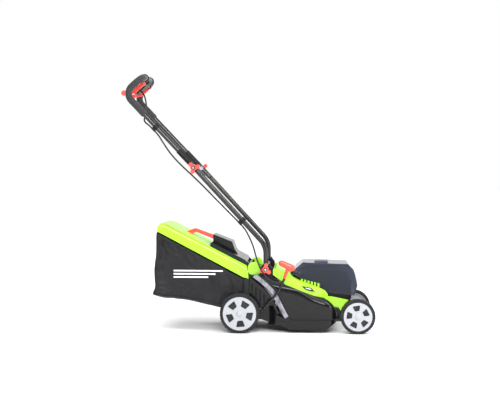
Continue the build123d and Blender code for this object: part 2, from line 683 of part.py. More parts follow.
def cable(points):
    """A round cable along straight runs that are joined by arcs as large as the runs allow."""
    corners = [Vector(*point) for point in points]
    radii = []
    for before, corner, after in zip(corners, corners[1:], corners[2:]):
        first, second = corner - before, after - corner
        turn = radians(first.get_angle(second))
        radii.append(0.45 * min(first.length, second.length) / tan(turn / 2))
    print("cable radii", [round(radius) for radius in radii])
    with BuildLine() as path:
        FilletPolyline(*corners, radius=radii)
    with BuildSketch(Plane(origin=path.line @ 0, z_dir=path.line % 0)) as section:
        Circle(CABLE_RADIUS)
    sweep(section.sketch, path=path.line)
    return sum(edge.length for edge in path.edges())


for name, route in (("cable_upper", CABLE_UPPER), ("cable_mid", CABLE_MID), ("cable_lower", CABLE_LOWER)):
    with BuildPart() as cable_part:
        length = cable(route)
    section_length = cable_part.part.volume / (pi * CABLE_RADIUS**2)
    print(name, "length", round(length), "mm; volume over section", round(section_length))
    save(cable_part.part, name)

CLIPS = (
    ("upper_cable_clip", UPPER_CLIP, UPPER_TUBE_Y, (-0.727, -0.687)),
    ("lower_cable_clip", LOWER_CLIP, LOWER_TUBE_Y, (-0.736, -0.677)),
)
for name, (x, z), y, (down_x, down_z) in CLIPS:
    with BuildPart() as cable_clip:
        with BuildSketch(Plane(origin=(x, -y, z), x_dir=(down_x, 0, down_z), z_dir=(-down_z, 0, down_x))):
            Circle(TUBE_RADIUS + 3)
            with Locations((9, 0)):
                Rectangle(22, 13)
            Circle(TUBE_RADIUS, mode=Mode.SUBTRACT)
            with Locations((16, 0)):
                Circle(CABLE_RADIUS + 0.8, mode=Mode.SUBTRACT)
        extrude(amount=9, both=True)
    save(cable_clip.part, name)


# ---------------------------------------------------------------- height adjustment
with BuildPart() as height_lever:
    bent_rod(
        [(-16, -141, 83), (66, -141, 96), (72, LEVER_Y, 102), (127, LEVER_Y, 167), (155, LEVER_Y, 224),
         (170, LEVER_Y, 266)],
        8, 4.5,
    )
    ring(REAR_AXLE, 13, AXLE_RADIUS, -145.5, -137)
save(height_lever.part, "height_lever")

with BuildPart() as lever_grip:
    front, rear = (186, 273), (142, 291)
    start = Vector(rear[0], -193, rear[1])
    axis = Vector(front[0] - rear[0], 0, front[1] - rear[1])
    with BuildSketch(Plane(origin=start, z_dir=axis)):
        Circle(11.5)
    extrude(amount=axis.length)
    for end in (rear, front):
        with Locations((end[0], -193, end[1])):
            Sphere(11.5)
    stem = Vector(15, 0, 42).normalized()
    with BuildSketch(Plane(origin=(156, LEVER_Y, 227), z_dir=stem)):
        Circle(6.5)
    extrude(amount=46)
    add(height_lever.part, mode=Mode.SUBTRACT)
save(lever_grip.part, "lever_grip")


def crank(axle):
    """A cranked axle: a rod across the deck, a plate at each end and a stub for each wheel."""
    pivot = (axle[0] - CRANK_REACH[0], axle[1] - CRANK_REACH[1])
    disc(pivot, AXLE_RADIUS, -CRANK_PLATE_Y, CRANK_PLATE_Y)
    for side in (-1, 1):
        low, high = both_sides(side, CRANK_PLATE_Y, CRANK_PLATE_Y + CRANK_PLATE)
        bar = 9
        slab(
            [
                (pivot[0] + 2, pivot[1] - bar), (axle[0] + 2, axle[1] - bar),
                (axle[0] - 2, axle[1] + bar), (pivot[0] - 2, pivot[1] + bar),
            ],
            low, high,
        )
        disc(pivot, bar, low, high)
        disc(axle, bar, low, high)
        disc(axle, AXLE_RADIUS, *both_sides(side, 137 if side < 0 else CRANK_PLATE_Y, 188))
    disc((pivot[0], pivot[1] + LINK_HORN), 7, CRANK_PLATE_Y, CRANK_PLATE_Y + CRANK_PLATE)
    slab(
        [
            (pivot[0] - 7, pivot[1]), (pivot[0] + 7, pivot[1]),
            (pivot[0] + 7, pivot[1] + LINK_HORN), (pivot[0] - 7, pivot[1] + LINK_HORN),
        ],
        CRANK_PLATE_Y, CRANK_PLATE_Y + CRANK_PLATE,
    )
    disc((pivot[0], pivot[1] + LINK_HORN), 3, CRANK_PLATE_Y - 9, CRANK_PLATE_Y)


with BuildPart() as rear_crank:
    crank(REAR_AXLE)
save(rear_crank.part, "rear_crank")

with BuildPart() as front_crank:
    crank(FRONT_AXLE)
save(front_crank.part, "front_crank")

# The link rod joins the two horns on the left, stepping outside the blade chamber on its way.
LINK_INNER_Y = 141
LINK_OUTER_Y = 188
rear_horn = (REAR_PIVOT[0], REAR_PIVOT[1] + LINK_HORN)
front_horn = (FRONT_PIVOT[0], FRONT_PIVOT[1] + LINK_HORN)
with BuildPart() as link_rod:
    bent_rod(
        [
            (rear_horn[0] + 6, LINK_INNER_Y, rear_horn[1]), (66, LINK_INNER_Y, rear_horn[1] - 2),
            (78, LINK_OUTER_Y, rear_horn[1] - 3), (345, LINK_OUTER_Y, front_horn[1] + 2),
            (357, LINK_INNER_Y, front_horn[1] + 1), (front_horn[0] - 6, LINK_INNER_Y, front_horn[1]),
        ],
        8, 3.5,
    )
    ring(rear_horn, 7, 3.1, LINK_INNER_Y - 3.5, LINK_INNER_Y + 3.5)
    ring(front_horn, 7, 3.8, LINK_INNER_Y - 3.5, LINK_INNER_Y + 3.5)
save(link_rod.part, "link_rod")


# ---------------------------------------------------------------- wheels
def wheel_hole(centre, radius, angle, size):
    """One window of the wheel, wider at its outer edge, as an X, Z outline."""
    points = []
    for reach, half in ((-0.42, 0.35), (0.40, 0.59), (0.40, -0.59), (-0.42, -0.35)):
        distance = radius + reach * size
        points.append((
            centre[0] + distance * cos(angle) - half * size * sin(angle),
            centre[1] + distance * sin(angle) + half * size * cos(angle),
        ))
    return points


def rim(centre, side, radius, turn):
    """A moulded wheel: hub, inner web and a face with five windows."""
    rim_radius = radius - 13
    face_low, face_high = both_sides(side, WHEEL_OUTER_Y - 5, WHEEL_OUTER_Y)
    disc(centre, rim_radius, face_low, face_high)
    ring(centre, rim_radius, rim_radius - 4, *both_sides(side, WHEEL_OUTER_Y - WHEEL_WIDTH + 3, WHEEL_OUTER_Y - 5))
    disc(centre, rim_radius - 4, *both_sides(side, WHEEL_OUTER_Y - 22, WHEEL_OUTER_Y - 18))
    disc(centre, 13, *both_sides(side, WHEEL_OUTER_Y - WHEEL_WIDTH, WHEEL_OUTER_Y - 5))
    with BuildSketch(side_plane(face_high)) as windows:
        for window in range(5):
            angle = radians(turn + 72 * window)
            with BuildLine():
                Polyline(*wheel_hole(centre, rim_radius * 0.61, angle, rim_radius * 0.46), close=True)
            make_face()
        fillet(windows.vertices(), radius=WINDOW_CORNER)
    extrude(windows.sketch, amount=face_high - face_low, mode=Mode.SUBTRACT)
    disc(centre, AXLE_RADIUS + FIT, *both_sides(side, 150, WHEEL_OUTER_Y - 5), mode=Mode.SUBTRACT)


def tyre(centre, side, radius):
    """A treaded tyre around the rim, with a row of grooves across each shoulder."""
    low, high = both_sides(side, WHEEL_OUTER_Y - WHEEL_WIDTH, WHEEL_OUTER_Y - 1)
    ring(centre, radius, radius - 13, low, high)
    for inner, outer in ((WHEEL_WIDTH + 1, 27), (12, 0)):
        start, end = both_sides(side, WHEEL_OUTER_Y - inner, WHEEL_OUTER_Y - outer)
        with BuildSketch(side_plane(end)) as grooves:
            with Locations(centre):
                with PolarLocations(radius, TREAD_GROOVES):
                    Rectangle(6, 6)
        extrude(grooves.sketch, amount=end - start, mode=Mode.SUBTRACT)


WHEELS = (
    ("rear", REAR_AXLE, REAR_RADIUS, 59),
    ("front", FRONT_AXLE, FRONT_RADIUS, 27),
)
for place, centre, radius, turn in WHEELS:
    for side, hand in ((-1, "right"), (1, "left")):
        with BuildPart() as wheel_rim:
            rim(centre, side, radius, turn)
        save(wheel_rim.part, f"{place}_rim_{hand}")
        with BuildPart() as wheel_tyre:
            tyre(centre, side, radius)
        save(wheel_tyre.part, f"{place}_tyre_{hand}")
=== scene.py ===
"""Looks of a cordless push lawn mower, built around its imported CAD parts. Lengths are in metres."""

import json
import math

import bmesh
import bpy
from mathutils import Matrix, Vector
from mathutils.bvhtree import BVHTree


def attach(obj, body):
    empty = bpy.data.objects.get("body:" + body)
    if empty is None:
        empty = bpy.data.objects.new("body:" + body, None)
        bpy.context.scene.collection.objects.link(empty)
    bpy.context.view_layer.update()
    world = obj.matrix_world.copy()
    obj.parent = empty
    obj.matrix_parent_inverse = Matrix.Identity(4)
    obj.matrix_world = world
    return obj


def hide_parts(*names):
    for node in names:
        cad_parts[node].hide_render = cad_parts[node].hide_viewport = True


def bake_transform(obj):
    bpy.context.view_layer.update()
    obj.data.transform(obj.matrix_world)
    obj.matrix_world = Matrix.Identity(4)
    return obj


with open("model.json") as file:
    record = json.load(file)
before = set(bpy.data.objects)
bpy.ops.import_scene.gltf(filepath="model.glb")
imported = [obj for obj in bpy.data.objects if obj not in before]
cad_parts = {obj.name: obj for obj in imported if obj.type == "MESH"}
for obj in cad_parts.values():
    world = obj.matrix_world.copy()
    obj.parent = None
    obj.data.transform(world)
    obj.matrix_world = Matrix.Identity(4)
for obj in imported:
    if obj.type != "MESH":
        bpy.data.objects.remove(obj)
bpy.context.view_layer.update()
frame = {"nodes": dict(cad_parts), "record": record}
nodes = frame["nodes"]


# ---------------------------------------------------------------- camera, world, floor, lights
def set_camera():
    """A long lens, set square to the mower's right side and a little above its middle."""
    data = bpy.data.cameras.new("camera")
    data.lens = 74.9
    data.sensor_width = 36
    camera = bpy.data.objects.new("camera", data)
    camera.location = (0.2314, -4.355, 0.638)
    camera.rotation_euler = (math.radians(88.62), 0, math.radians(2.97))
    bpy.context.scene.collection.objects.link(camera)
    bpy.context.scene.camera = camera


def set_world(strength):
    world = bpy.data.worlds.new("studio")
    world.use_nodes = True
    tree = world.node_tree
    background = tree.nodes["Background"]
    background.inputs["Color"].default_value = (1, 1, 1, 1)
    direction = tree.nodes.new("ShaderNodeTexCoord").outputs["Generated"]
    split = tree.nodes.new("ShaderNodeSeparateXYZ")
    tree.links.new(direction, split.inputs["Vector"])
    room = tree.nodes.new("ShaderNodeMapRange")
    tree.links.new(split.outputs["Y"], room.inputs["Value"])
    for socket, value in (("From Min", -0.3), ("From Max", 0.5), ("To Min", strength), ("To Max", 1.0)):
        room.inputs[socket].default_value = value
    seen = tree.nodes.new("ShaderNodeLightPath").outputs["Is Camera Ray"]
    brightest = tree.nodes.new("ShaderNodeMath")
    brightest.operation = "MAXIMUM"
    tree.links.new(seen, brightest.inputs[0])
    tree.links.new(room.outputs["Result"], brightest.inputs[1])
    tree.links.new(brightest.outputs["Value"], background.inputs["Strength"])
    bpy.context.scene.world = world
    bpy.context.scene.view_settings.view_transform = "Standard"


def softbox(name, place, target, size, power):
    """A square area light that points from place to target."""
    data = bpy.data.lights.new(name, "AREA")
    data.shape = "RECTANGLE"
    data.size, data.size_y = size
    data.energy = power
    light = bpy.data.objects.new(name, data)
    light.location = place
    light.rotation_euler = (Vector(target) - Vector(place)).to_track_quat("-Z", "Y").to_euler()
    light.visible_camera = False
    bpy.context.scene.collection.objects.link(light)


def ceiling_light(strength, spread):
    """An even, very soft light from above, as from a white ceiling."""
    data = bpy.data.lights.new("ceiling", "SUN")
    data.energy = strength
    data.angle = math.radians(spread)
    light = bpy.data.objects.new("ceiling", data)
    light.rotation_euler = (math.radians(14), 0, 0)
    bpy.context.scene.collection.objects.link(light)


# ---------------------------------------------------------------- materials
class Finish:
    """A procedural material: a Principled surface with short calls for the nodes that feed it."""

    def __init__(self, name, **constants):
        self.material = bpy.data.materials.new(name)
        self.material.use_nodes = True
        self.tree = self.material.node_tree
        self.surface = self.tree.nodes["Principled BSDF"]
        self.place = self.add("ShaderNodeTexCoord").outputs["Object"]
        for key, value in constants.items():
            self.set(key.replace("_", " "), value)

    def set(self, socket, value):
        if isinstance(value, tuple) and len(value) == 3:
            value = (*value, 1)
        self.surface.inputs[socket].default_value = value

    def add(self, kind, links=(), **settings):
        node = self.tree.nodes.new(kind)
        for key, value in settings.items():
            if hasattr(node, key):
                setattr(node, key, value)
            else:
                node.inputs[key.replace("_", " ")].default_value = value
        for socket, source in dict(links).items():
            self.tree.links.new(source, node.inputs[socket])
        return node

    def stretched(self, scale):
        node = self.add("ShaderNodeMapping", {"Vector": self.place})
        node.inputs["Scale"].default_value = scale
        return node.outputs["Vector"]

    def noise(self, scale, detail=3.0, place=None):
        links = {"Vector": place or self.place}
        return self.add("ShaderNodeTexNoise", links, Scale=scale, Detail=detail).outputs["Fac"]

    def ramp(self, value, low, high, start=0.3, end=0.7):
        node = self.add("ShaderNodeMapRange", {"Value": value})
        for socket, number in (("From Min", start), ("From Max", end), ("To Min", low), ("To Max", high)):
            node.inputs[socket].default_value = number
        return node.outputs["Result"]

    def math(self, operation, a, b=None):
        node = self.add("ShaderNodeMath", operation=operation)
        for socket, value in zip(node.inputs, (a, b)):
            if isinstance(value, (int, float)):
                socket.default_value = value
            elif value is not None:
                self.tree.links.new(value, socket)
        return node.outputs["Value"]

    def mix(self, share, a, b):
        node = self.add("ShaderNodeMix", data_type="RGBA")
        self.tree.links.new(share, node.inputs["Factor"])
        for socket, value in ((node.inputs[6], a), (node.inputs[7], b)):
            if isinstance(value, tuple):
                socket.default_value = (*value, 1)
            else:
                self.tree.links.new(value, socket)
        return node.outputs[2]

    def colour(self, source):
        self.tree.links.new(source, self.surface.inputs["Base Color"])

    def roughness(self, source):
        self.tree.links.new(source, self.surface.inputs["Roughness"])

    def bump(self, height, distance, strength=1.0, under=None):
        links = {"Height": height}
        if under:
            links["Normal"] = under
        node = self.add("ShaderNodeBump", links, Strength=strength, Distance=distance)
        self.tree.links.new(node.outputs["Normal"], self.surface.inputs["Normal"])
        return node.outputs["Normal"]


def shade(colour, factor):
    return tuple(min(1.0, c * factor) for c in colour)


def moulded(name, colour, rough, grain=0.00003, coat=0.0, variation=0.12, gloss=0.5):
    """Injection-moulded plastic: faint colour drift, uneven gloss and a fine skin texture."""
    finish = Finish(name, Coat_Weight=coat, Coat_Roughness=0.06, Specular_IOR_Level=gloss)
    drift = finish.noise(14, 4)
    finish.colour(finish.mix(drift, shade(colour, 1 - variation), shade(colour, 1 + variation)))
    finish.roughness(finish.ramp(finish.noise(45, 5), rough * 0.75, rough * 1.35))
    skin = finish.bump(finish.noise(1600, 2), grain)
    finish.bump(finish.noise(22, 2), 0.0006, 0.25, skin)
    return finish.material


def metal(name, colour, rough, grain=(6, 6, 600), scratches=0.00002):
    """Bare metal, drawn or rolled along X and Y, with fine lines and duller patches."""
    finish = Finish(name, Metallic=1.0)
    lines = finish.noise(1, 4, finish.stretched(grain))
    finish.colour(finish.mix(finish.noise(30, 4), shade(colour, 0.8), shade(colour, 1.1)))
    finish.roughness(finish.ramp(lines, rough * 0.7, rough * 1.4))
    finish.bump(lines, scratches)
    return finish.material


def painted(name, colour, rough):
    """Powder-coated steel: a hard coat with a slight orange peel."""
    finish = Finish(name, Specular_IOR_Level=0.5)
    finish.colour(finish.mix(finish.noise(60, 3), shade(colour, 0.85), shade(colour, 1.2)))
    finish.roughness(finish.ramp(finish.noise(120, 3), rough * 0.9, rough * 1.15))
    finish.bump(finish.noise(300, 2), 0.000006)
    return finish.material


def rubber(name, colour, rough, dust=0.0):
    """Matt rubber with a dusty bloom in the hollows of its skin."""
    finish = Finish(name, Sheen_Weight=0.05, Specular_IOR_Level=0.3)
    finish.set("Sheen Roughness", 0.5)
    bloom = finish.ramp(finish.noise(38, 6), 0.0, 1.0, 0.42, 0.72)
    finish.colour(finish.mix(bloom, shade(colour, 0.85), shade(colour, 1.25 + dust)))
    finish.roughness(finish.ramp(finish.noise(120, 3), rough * 0.85, min(1.0, rough * 1.2)))
    finish.bump(finish.noise(900, 4), 0.00008)
    return finish.material


def cellular(name, colour):
    """Closed-cell foam: a skin of small pits, with painted shade that darkens each pit."""
    finish = Finish(name, Sheen_Weight=0.25)
    finish.set("Sheen Roughness", 0.4)
    cells = finish.add("ShaderNodeTexVoronoi", {"Vector": finish.place}, Scale=650.0).outputs["Distance"]
    # painted shade: the colour darkens towards the middle of each pit, where the bump is lowest
    finish.colour(finish.mix(cells, shade(colour, 0.6), shade(colour, 1.5)))
    finish.roughness(finish.ramp(finish.noise(90, 3), 0.72, 0.92))
    pits = finish.bump(cells, 0.0002, 0.4)
    finish.bump(finish.noise(55, 3), 0.0008, 0.35, pits)
    return finish.material


def smoked(name, colour):
    """Clear smoked polycarbonate, polished, with a few soft ripples from its mould."""
    finish = Finish(name, Transmission_Weight=0.92, IOR=1.27)
    finish.colour(finish.mix(finish.noise(9, 3), shade(colour, 0.8), shade(colour, 1.3)))
    finish.roughness(finish.ramp(finish.noise(35, 3), 0.03, 0.09))
    finish.bump(finish.noise(7, 2), 0.0012, 0.3)
    return finish.material


def mottled(name, light, dark):
    """Dull silver film with darker streaks that run along the strip."""
    finish = Finish(name, Metallic=0.35)
    streaks = finish.noise(1, 6, finish.stretched((85, 30, 45)))
    finish.colour(finish.mix(finish.ramp(streaks, 0.0, 1.0, 0.34, 0.64), dark, light))
    finish.roughness(finish.ramp(finish.noise(120, 4), 0.22, 0.45))
    finish.bump(streaks, 0.0006, 0.5)
    return finish.material


YARN_PITCH = 0.0011
PRINT_FROM_Y = 0.12
BAG_STRIPES = (
    # left, right, height and half width of each printed bar
    (-0.300, -0.098, 0.2475, 0.0030),
    (-0.300, -0.128, 0.2345, 0.0030),
    (-0.300, -0.158, 0.2215, 0.0030),
)


def woven(name, colour, print_colour=None):
    """Coated polyester cloth: a plain weave painted lighter on its yarn crests as highlight, worn paler in
    patches that are also painted highlight for its folds, and printed with plain bars.
    """
    finish = Finish(name, Sheen_Weight=0.02, Specular_IOR_Level=0.24)
    finish.set("Sheen Roughness", 0.45)
    parts = finish.add("ShaderNodeSeparateXYZ", {"Vector": finish.place}).outputs
    yarn = 2 * math.pi / YARN_PITCH
    waves = [finish.math("SINE", finish.math("MULTIPLY", parts[i], yarn)) for i in (0, 1, 2)]
    across = finish.math("MULTIPLY", waves[0], waves[2])
    weave = finish.math("ADD", across, finish.math("MULTIPLY", waves[0], waves[1]))
    # pale patches: partly worn, dusty cloth and partly painted highlight that stands in for the light caught by
    # the folds
    wear_and_fold_highlight = finish.ramp(finish.noise(13, 7), 0.0, 1.0, 0.5, 0.72)
    base = finish.mix(wear_and_fold_highlight, shade(colour, 0.85), shade(colour, 2.3))
    # painted highlight: the colour is lighter on the yarn crests, where the weave's bump is highest
    lit = finish.mix(finish.ramp(weave, 0.0, 1.0, -1.0, 1.0), base, shade(colour, 1.6))
    if print_colour:
        ink = None
        for left, right, height, half in BAG_STRIPES:
            along = finish.math("ABSOLUTE", finish.math("SUBTRACT", parts[0], (left + right) / 2))
            inside = finish.math("LESS_THAN", along, (right - left) / 2)
            up = finish.math("ABSOLUTE", finish.math("SUBTRACT", parts[2], height))
            bar = finish.math("MULTIPLY", inside, finish.math("LESS_THAN", up, half))
            ink = bar if ink is None else finish.math("MAXIMUM", ink, bar)
        side = finish.math("GREATER_THAN", finish.math("ABSOLUTE", parts[1]), PRINT_FROM_Y)
        ink = finish.math("MULTIPLY", finish.math("MULTIPLY", ink, side), 0.93)
        lit = finish.mix(ink, lit, print_colour)
    finish.colour(lit)
    finish.roughness(finish.ramp(finish.noise(60, 4), 0.36, 0.56))
    threads = finish.bump(weave, 0.00012, 0.7)
    finish.bump(finish.noise(75, 5), 0.0012, 0.3, threads)
    return finish.material


def circuit(name, colour):
    """Solder mask over copper tracks."""
    finish = Finish(name, Roughness=0.35)
    tracks = finish.add("ShaderNodeTexBrick", {"Vector": finish.place}, Scale=180.0)
    tracks.inputs["Color1"].default_value = (*colour, 1)
    tracks.inputs["Color2"].default_value = (*shade(colour, 1.6), 1)
    tracks.inputs["Mortar"].default_value = (*shade(colour, 3.0), 1)
    finish.colour(tracks.outputs["Color"])
    finish.bump(tracks.outputs["Fac"], 0.0001)
    return finish.material


def make_materials():
    """One material for each of the record's slots, and a few for the added pieces."""
    return {
        "black_shell": moulded("black_shell", (0.0045, 0.0045, 0.0052), 0.17, 0.000006, gloss=0.27),
        "green_shell": moulded("green_shell", (0.31, 0.72, 0.009), 0.32, coat=0.2, variation=0.05),
        "silver_trim": mottled("silver_trim", (0.27, 0.27, 0.31), (0.06, 0.06, 0.075)),
        "smoked_clear": smoked("smoked_clear", (0.10, 0.12, 0.19)),
        "inner_black": moulded("inner_black", (0.004, 0.004, 0.005), 0.42, 0.00008, gloss=0.2),
        "battery_case": moulded("battery_case", (0.009, 0.009, 0.011), 0.5, 0.00012, gloss=0.3),
        "red_plastic": moulded("red_plastic", (0.84, 0.055, 0.035), 0.33, coat=0.25, variation=0.06),
        "steel": metal("steel", (0.50, 0.50, 0.52), 0.32),
        "zinc_screw": metal("zinc_screw", (0.66, 0.67, 0.70), 0.28, (90, 90, 90)),
        "black_tube": painted("black_tube", (0.006, 0.006, 0.007), 0.19),
        "foam": cellular("foam", (0.016, 0.016, 0.018)),
        "cable_rubber": rubber("cable_rubber", (0.010, 0.010, 0.011), 0.42),
        "board": circuit("board", (0.01, 0.16, 0.05)),
        "motor_metal": metal("motor_metal", (0.48, 0.49, 0.51), 0.4, (200, 200, 8)),
        "blade_steel": metal("blade_steel", (0.28, 0.28, 0.30), 0.38, (500, 8, 8)),
        "bag_cloth": woven("bag_cloth", (0.0060, 0.0057, 0.0068), (0.80, 0.81, 0.84)),
        "hem_tape": woven("hem_tape", (0.007, 0.007, 0.008)),
        "rim_silver": moulded("rim_silver", (0.34, 0.35, 0.375), 0.38, coat=0.15, variation=0.05),
        "tyre_black": rubber("tyre_black", (0.0075, 0.0072, 0.0085), 0.62, 0.5),
        "lamp_grey": moulded("lamp_grey", (0.55, 0.56, 0.60), 0.3),
        "shadow_black": moulded("shadow_black", (0.008, 0.008, 0.009), 0.6),
    }


# ---------------------------------------------------------------- mesh helpers
def piece(name, vertices, faces, body, slot, smooth=40):
    """A mesh object on a body, in one slot's finish, smooth except at edges sharper than smooth degrees."""
    mesh = bpy.data.meshes.new(name)
    mesh.from_pydata([tuple(v) for v in vertices], [], faces)
    return from_mesh(name, mesh, body, slot, smooth)


def from_mesh(name, mesh, body, slot, smooth=40):
    tidy = bmesh.new()
    tidy.from_mesh(mesh)
    bmesh.ops.recalc_face_normals(tidy, faces=tidy.faces)
    tidy.to_mesh(mesh)
    tidy.free()
    mesh.polygons.foreach_set("use_smooth", [True] * len(mesh.polygons))
    mesh.set_sharp_from_angle(angle=math.radians(smooth))
    thing = bpy.data.objects.new(name, mesh)
    bpy.context.scene.collection.objects.link(thing)
    thing.data.materials.append(MATERIALS[slot])
    if body:
        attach(thing, body)
    return thing


def bevel(thing, width, segments=3, angle=35):
    """Rounds the edges of a piece that are sharper than angle degrees."""
    rounding = thing.modifiers.new("rounding", "BEVEL")
    rounding.width = width
    rounding.segments = segments
    rounding.limit_method = "ANGLE"
    rounding.angle_limit = math.radians(angle)
    rounding.harden_normals = True
    return thing


def sweep(points, radius, sides=20):
    """Vertices and faces of a closed round tube. radius is a number, or a function of the share along it."""
    points = [Vector(p) for p in points]
    lengths = [0.0]
    for a, b in zip(points, points[1:]):
        lengths.append(lengths[-1] + (b - a).length)
    vertices = []
    faces = []
    side = None
    for i, centre in enumerate(points):
        forward = (points[min(i + 1, len(points) - 1)] - points[max(i - 1, 0)]).normalized()
        if side is None:
            side = forward.orthogonal().normalized()
        side = (side - forward * side.dot(forward)).normalized()
        up = forward.cross(side)
        size = radius(lengths[i] / lengths[-1]) if callable(radius) else radius
        for k in range(sides):
            turn = 2 * math.pi * k / sides
            vertices.append(centre + (side * math.cos(turn) + up * math.sin(turn)) * size)
    for i in range(len(points) - 1):
        for k in range(sides):
            after = (k + 1) % sides
            faces.append((i * sides + k, i * sides + after, (i + 1) * sides + after, (i + 1) * sides + k))
    faces.append(tuple(reversed(range(sides))))
    faces.append(tuple((len(points) - 1) * sides + k for k in range(sides)))
    return vertices, faces


def lathe(profile, centre, axis, sides=48):
    """A turned solid: profile holds (radius, distance along axis), and ends on the axis or closes on itself."""
    axis = Vector(axis).normalized()
    side = axis.orthogonal().normalized()
    up = axis.cross(side)
    centre = Vector(centre)
    vertices = []
    rows = []
    for radius, height in profile:
        if radius < 1e-7:
            rows.append([len(vertices)])
            vertices.append(centre + axis * height)
            continue
        rows.append([len(vertices) + k for k in range(sides)])
        for k in range(sides):
            turn = 2 * math.pi * k / sides
            vertices.append(centre + axis * height + (side * math.cos(turn) + up * math.sin(turn)) * radius)
    faces = []
    closed = len(rows[0]) > 1 and len(rows[-1]) > 1
    pairs = list(zip(rows, rows[1:])) + ([(rows[-1], rows[0])] if closed else [])
    for low, high in pairs:
        for k in range(sides):
            after = k + 1
            corners = [low[k % len(low)], low[after % len(low)], high[after % len(high)], high[k % len(high)]]
            corners = list(dict.fromkeys(corners))
            if len(corners) > 2:
                faces.append(tuple(corners))
    return vertices, faces


def add_to(vertices, faces, more, loops):
    """Adds a second set of vertices and faces to the first."""
    faces.extend(tuple(k + len(vertices) for k in loop) for loop in loops)
    vertices.extend(more)


def prism(outline, low, high):
    """An outline of (x, z) points, made solid from y = low to y = high."""
    count = len(outline)
    vertices = [(x, y, z) for y in (low, high) for x, z in outline]
    faces = [tuple(range(count)), tuple(reversed(range(count, 2 * count)))]
    for i in range(count):
        after = (i + 1) % count
        faces.append((i, i + count, after + count, after))
    return vertices, faces


def side_prism(outline, sign, inner, outer):
    """A prism between two distances from the middle plane, on the side that sign gives."""
    low, high = sorted((sign * inner, sign * outer))
    return prism(outline, low, high)


def smooth_line(points, count):
    """Points read along the NURBS spline that has these control points."""
    curve = bpy.data.curves.new("route", "CURVE")
    curve.dimensions = "3D"
    spline = curve.splines.new("NURBS")
    spline.points.add(len(points) - 1)
    for point, place in zip(spline.points, points):
        point.co = (*place, 1)
    spline.order_u = 3
    spline.use_endpoint_u = True
    spline.resolution_u = count
    holder = bpy.data.objects.new("route", curve)
    bpy.context.scene.collection.objects.link(holder)
    bpy.context.view_layer.update()
    mesh = bpy.data.meshes.new_from_object(holder)
    line = [v.co.copy() for v in mesh.vertices]
    bpy.data.objects.remove(holder)
    bpy.data.curves.remove(curve)
    bpy.data.meshes.remove(mesh)
    return line


def rounded(points, radius, steps=8):
    """The path of a bent tube: straight runs joined by arcs of one radius."""
    points = [Vector(p) for p in points]
    path = [points[0]]
    for before, corner, after in zip(points, points[1:], points[2:]):
        into = (corner - before).normalized()
        out = (after - corner).normalized()
        turn = into.angle(out)
        reach = radius * math.tan(turn / 2)
        normal = (out - into).normalized()
        centre = corner + normal * (radius / math.cos(turn / 2))
        start = corner - into * reach - centre
        axis = into.cross(out).normalized()
        for i in range(steps + 1):
            path.append(centre + Matrix.Rotation(turn * i / steps, 3, axis) @ start)
    return path + [points[-1]]


# ---------------------------------------------------------------- the pieces
def dress_nodes():
    """Every CAD node gets its slot's finish."""
    slot_of = {}
    for entry in frame["record"]["materials"]:
        for name in entry.get("nodes", []):
            slot_of[name] = entry["slot"]
    for name, thing in nodes.items():
        slot = slot_of.get(name)
        if slot is None and thing.data.materials:
            slot = thing.data.materials[0].name.split(".")[0]
        thing.data.materials.clear()
        thing.data.materials.append(MATERIALS.get(slot, MATERIALS["inner_black"]))


FOAM_RADIUS = 0.014
FOAM_REACH = 0.121
FOAM_STEP = 0.006
UPPER_LEG_Y = 0.142
UPPER_FOOT = (-0.176, 0, 0.629)
LOOP_VERTEX = (-0.499, 0, 0.971)
LOOP_CROSSBAR = (-0.427, 0, 1.037)
LOOP_BEND = 0.040


def make_foam_grip():
    """The foam sleeve round the upper loop, with a small swelling and a rounded edge at each end."""
    foot, vertex, crossbar = (Vector(place) for place in (UPPER_FOOT, LOOP_VERTEX, LOOP_CROSSBAR))
    start = vertex + (foot - vertex).normalized() * FOAM_REACH
    leg = Vector((0, UPPER_LEG_Y, 0))
    corners = [start - leg, vertex - leg, crossbar - leg, crossbar + leg, vertex + leg, start + leg]
    path = rounded(corners, LOOP_BEND, 10)
    dense = []
    for a, b in zip(path, path[1:]):
        steps = max(1, int((b - a).length / FOAM_STEP))
        dense.extend(a.lerp(b, i / steps) for i in range(steps))
    dense.append(path[-1])

    def size(share):
        end = min(share, 1 - share)
        lip = 0.0006 * math.exp(-((end - 0.006) / 0.003) ** 2)
        return FOAM_RADIUS + lip - 0.0012 * math.exp(-(end / 0.0018) ** 2)

    vertices, faces = sweep(dense, size, 24)
    grip = piece("foam_sleeve", vertices, faces, "upper_handle", "foam")
    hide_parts("foam_grip")


CABLE_RADIUS = 0.00325
CABLE_UPPER = (
    (-0.4504, -0.016, 0.9885), (-0.4403, -0.016, 0.9774), (-0.429, -0.042, 0.957), (-0.418, -0.082, 0.925),
    (-0.414, -0.112, 0.893), (-0.421, -0.128, 0.868), (-0.417, -0.138, 0.853), (-0.3982, -0.142, 0.840),
    (-0.3808, -0.142, 0.8226),
)
CABLE_MID = (
    (-0.3808, -0.142, 0.8226), (-0.3634, -0.142, 0.8052), (-0.336, -0.148, 0.762), (-0.306, -0.153, 0.719),
    (-0.262, -0.159, 0.674), (-0.218, -0.163, 0.634), (-0.172, -0.165, 0.590), (-0.121, -0.165, 0.537),
    (-0.0744, -0.165, 0.490), (-0.0279, -0.165, 0.4435),
)
CABLE_LOWER = (
    (-0.0279, -0.165, 0.4435), (-0.0104, -0.165, 0.426), (0.009, -0.171, 0.394), (0.028, -0.181, 0.352),
    (0.041, -0.1985, 0.306), (0.057, -0.2095, 0.264), (0.080, -0.2085, 0.230), (0.106, -0.204, 0.212),
    (0.128, -0.200, 0.206), (0.136, -0.196, 0.206), (0.136, -0.178, 0.206),
)


# the two bodies that a span hangs between, and where a blend from one to the other would start and end
MID_BEND = ("upper_handle", "lower_handle", (-0.262, -0.16, 0.720), (-0.162, -0.16, 0.614))
LOWER_BEND = ("lower_handle", "root", (-0.0104, -0.165, 0.426), (0.080, -0.2075, 0.230))


